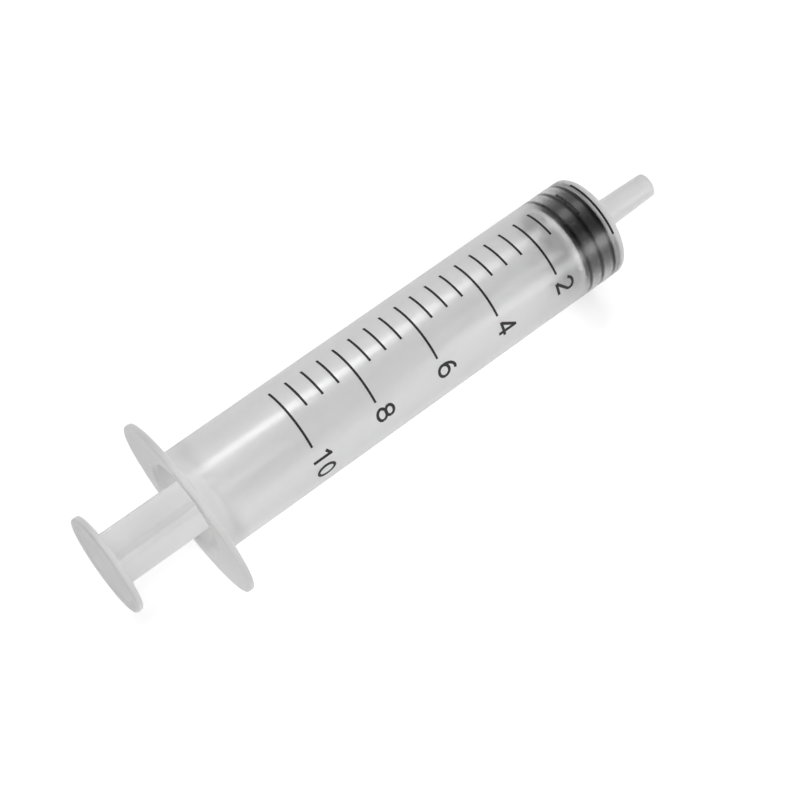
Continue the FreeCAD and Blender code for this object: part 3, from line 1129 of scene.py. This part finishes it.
@dataclass
class ScalePrint:
    """Scale from nought to ten millilitres, printed in black on the outside of the barrel.

    Angles on the barrel are counted from the top towards -Y.
    """

    barrel: Barrel
    volumes: int = 10
    spacing: float = 5.76
    zero_ahead: float = 0.12
    line_width: float = 0.37
    start: float = -37.2
    long_end: float = 37.2
    short_end: float = 0.0
    digit_start: float = 44.5
    digit_width: float = 2.05
    digit_height: float = 2.85
    digit_lead: float = 0.8
    digit_gap: float = 0.53
    pen: float = 0.48
    film: float = 0.015
    sunk: float = 0.01
    finish: ScreenInk = field(default_factory=ScreenInk)

    def line_place(self, volume: float) -> float:
        """X of a graduation line.

        Args:
            volume: millilitres that the line stands for.

        Returns:
            Its place along the barrel.
        """
        return self.barrel.bore_end + self.zero_ahead - volume * self.spacing

    def ribbon(self, path: np.ndarray, width: float) -> tuple[np.ndarray, np.ndarray]:
        """Wrap one stroke of ink on the barrel as a thin closed ribbon.

        The path gives along and round, as lengths on the unrolled barrel. Each point goes half
        the width to both sides, square to the path, and lies at the barrel's radius, a little
        sunk on the inside and the film's thickness proud outside. Round becomes an angle by
        dividing it by the radius.

        Args:
            path: along and round for each point of the stroke.
            width: width of the stroke.

        Returns:
            Corners of the ribbon, and the corner numbers of its faces.
        """
        run = np.gradient(path, axis=0)
        run /= np.linalg.norm(run, axis=1, keepdims=True)
        side = np.stack([-run[:, 1], run[:, 0]], axis=1) * width / 2
        edges = np.stack([path + side, path - side, path - side, path + side], axis=1)
        radius = self.barrel.tube_radius + np.array([self.film, self.film, -self.sunk, -self.sunk])
        angle = math.pi / 2 + edges[..., 1] / self.barrel.tube_radius
        points = np.stack(
            [edges[..., 0], radius * np.cos(angle), self.barrel.axis_height + radius * np.sin(angle)],
            axis=-1,
        ).reshape(-1, 3)
        faces = quads(len(path), 4, False)
        last = 4 * (len(path) - 1)
        caps = np.array([[0, 1, 2, 3], [last + 3, last + 2, last + 1, last]])
        return points, np.concatenate([faces, caps])

    def tick(self, volume: float, end: float) -> np.ndarray:
        """Path of one graduation line.

        Args:
            volume: millilitres that the line stands for.
            end: angle where the line ends, in degrees.

        Returns:
            Along and round for each point.
        """
        round_barrel = np.radians(np.linspace(self.start, end, 41)) * self.barrel.tube_radius
        along = np.full_like(round_barrel, self.line_place(volume))
        return np.stack([along, round_barrel], axis=1)

    def digit_paths(self, volume: int) -> list[np.ndarray]:
        """Paths of the number beside a long line, its top towards the nozzle.

        Args:
            volume: the number.

        Returns:
            Along and round for each point of each stroke.
        """
        line = self.line_place(volume)
        left = math.radians(self.digit_start) * self.barrel.tube_radius + self.pen / 2
        advance = self.digit_width + self.digit_gap
        paths = []
        for place, digit in enumerate(str(volume)):
            for stroke in DIGITS[digit]:
                across, up = stroke.points(self.digit_width, self.digit_height).T
                along = line + self.digit_lead + up - self.digit_height / 2
                paths.append(np.stack([along, left + place * advance + across], axis=1))
        return paths

    def build(self) -> bpy.types.Object:
        """Make the whole print as one piece on the barrel."""
        strokes = []
        for half in range(2 * self.volumes + 1):
            end = self.long_end if half % 4 == 0 else self.short_end
            strokes.append((self.tick(half / 2, end), self.line_width))
        for volume in range(2, self.volumes + 1, 2):
            strokes += [(path, self.pen) for path in self.digit_paths(volume)]
        points, faces, count = [], [], 0
        for path, width in strokes:
            corners, corner_numbers = self.ribbon(path, width)
            points.append(corners)
            faces += (corner_numbers + count).tolist()
            count += len(corners)
        piece = mesh_object("scale_print", np.concatenate(points), faces, False)
        piece.data.materials.append(self.finish.build())
        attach(piece, self.barrel.body)
        return piece


@dataclass(frozen=True)
class SoftPanel:
    """Rectangular lamp that hangs beside or over the syringe and faces a point of its axis.

    Lean is the angle from straight overhead towards -Y, in degrees. Along and aim are the X of
    the lamp and of the point that it faces.
    """

    name: str
    lean: float
    along: float
    aim: float
    distance: float
    length: float
    width: float
    radiance: float

    def build(self, axis_height: float) -> bpy.types.Object:
        """Hang the lamp.

        The lamp's power is four times its area times its radiance.

        Args:
            axis_height: height of the syringe's axis.

        Returns:
            The lamp.
        """
        lamp = bpy.data.lights.new(self.name, "AREA")
        lamp.shape = "RECTANGLE"
        lamp.size, lamp.size_y = self.length * MM, self.width * MM
        lamp.energy = 4 * lamp.size * lamp.size_y * self.radiance
        holder = bpy.data.objects.new(self.name, lamp)
        lean = math.radians(self.lean)
        up = Vector((0, -math.sin(lean), math.cos(lean))) * self.distance
        way = Vector((self.along - self.aim, 0, 0)) + up
        holder.location = (Vector((self.along, 0, axis_height)) + up) * MM
        holder.rotation_euler = way.to_track_quat("Z", "Y").to_euler()
        holder.visible_camera = False
        bpy.context.scene.collection.objects.link(holder)
        return holder


@dataclass
class Studio:
    """Pale floor, pale surroundings, three soft panels and the camera."""

    floor_half: float = 3000.0
    floor_colour: str = "E8E8E8"
    floor_glow: float = 0.4
    dome_low: float = 1.3
    dome_high: float = 0.04
    dome_span: tuple[float, float] = (0.35, 0.8)
    dim_side: tuple[float, float, float] = (-0.7, 0.7, 0.0)
    dim_share: float = 0.2
    dim_span: tuple[float, float] = (0.0, 0.8)
    panels: tuple[SoftPanel, ...] = (
        SoftPanel("strip_panel", -28.5, 58.0, 58.0, 300.0, 126.0, 48.0, 8.4),
        SoftPanel("side_panel", 56.5, 185.0, 185.0, 300.0, 130.0, 110.0, 3.5),
        SoftPanel("fill_panel", 0.0, -100.0, 0.0, 320.0, 400.0, 150.0, 2.15),
    )
    camera_place: tuple[float, float, float] = (-87.572, -66.824, 264.100)
    camera_turn: tuple[float, float, float] = (21.580, -6.206, -38.840)
    camera_lens: float = 84.147
    camera_sensor: float = 36.0

    def seen_directly(self, tree: bpy.types.NodeTree) -> bpy.types.NodeSocket:
        """One for rays from the camera, from gloss and through glass, and nought for others."""
        path = add_node(tree, "LightPath")
        first = add_node(
            tree,
            "Math",
            links={0: path.outputs["Is Camera Ray"], 1: path.outputs["Is Glossy Ray"]},
            operation="MAXIMUM",
        )
        second = add_node(
            tree,
            "Math",
            links={0: first.outputs[0], 1: path.outputs["Is Transmission Ray"]},
            operation="MAXIMUM",
        )
        return second.outputs[0]

    def build_floor(self) -> bpy.types.Object:
        """Lay the floor, matt and white, which glows a little to whatever sees it directly."""
        half = self.floor_half * MM
        corners = [(-half, -half, 0), (half, -half, 0), (half, half, 0), (-half, half, 0)]
        mesh = bpy.data.meshes.new("floor")
        mesh.from_pydata(corners, [], [(0, 1, 2, 3)])
        floor = bpy.data.objects.new("floor", mesh)
        bpy.context.scene.collection.objects.link(floor)
        material, tree, output = new_material("white_card")
        matt = add_node(tree, "BsdfDiffuse", {"Color": linear(self.floor_colour)})
        share = add_node(
            tree, "Math", {1: self.floor_glow}, {0: self.seen_directly(tree)}, operation="MULTIPLY"
        )
        glow = add_node(tree, "Emission", links={"Strength": share.outputs[0]})
        both = add_node(tree, "AddShader", links={0: matt.outputs[0], 1: glow.outputs[0]})
        tree.links.new(both.outputs[0], output.inputs["Surface"])
        mesh.materials.append(material)
        return floor

    def build_world(self) -> None:
        """Pale surroundings: a white horizon that darkens overhead and towards one side."""
        world = bpy.data.worlds.new("studio")
        world.use_nodes = True
        bpy.context.scene.world = world
        tree = world.node_tree
        tree.nodes.clear()
        place = add_node(tree, "TexCoord").outputs["Generated"]
        height = add_node(tree, "SeparateXYZ", links={0: place}).outputs["Z"]
        level = ranged(tree, height, self.dome_low, self.dome_high, self.dome_span)
        dim = add_node(tree, "VectorMath", {1: self.dim_side}, {0: place}, operation="DOT_PRODUCT")
        share = ranged(tree, dim.outputs["Value"], 1.0, self.dim_share, self.dim_span)
        light = add_node(tree, "Math", links={0: level, 1: share}, operation="MULTIPLY")
        sky = add_node(tree, "Background", links={"Strength": light.outputs[0]})
        add_node(tree, "OutputWorld", links={"Surface": sky.outputs[0]})

    def build_camera(self) -> bpy.types.Object:
        """Set up the camera at the photograph's place, turn and lens."""
        lens = bpy.data.cameras.new("camera")
        lens.lens = self.camera_lens
        lens.sensor_width = self.camera_sensor
        lens.clip_start = 0.01
        camera = bpy.data.objects.new("camera", lens)
        camera.location = [place * MM for place in self.camera_place]
        camera.rotation_euler = [math.radians(turn) for turn in self.camera_turn]
        bpy.context.scene.collection.objects.link(camera)
        bpy.context.scene.camera = camera
        return camera

    def build(self, axis_height: float) -> None:
        """Set the stage.

        Args:
            axis_height: height of the syringe's axis.
        """
        self.build_floor()
        self.build_world()
        self.build_camera()
        for panel in self.panels:
            panel.build(axis_height)
        bpy.context.scene.view_settings.view_transform = "Standard"


def main() -> None:
    """Build the syringe's skins, its print and the studio."""
    logging.basicConfig(level=logging.INFO)
    barrel = Barrel()
    for maker in (barrel, PlungerRod(), Stopper(), ScalePrint(barrel)):
        piece = maker.build()
        LOG.info("%s: %d faces", piece.name, len(piece.data.polygons))
    Studio().build(barrel.axis_height)


if __name__ == "__main__":
    main()
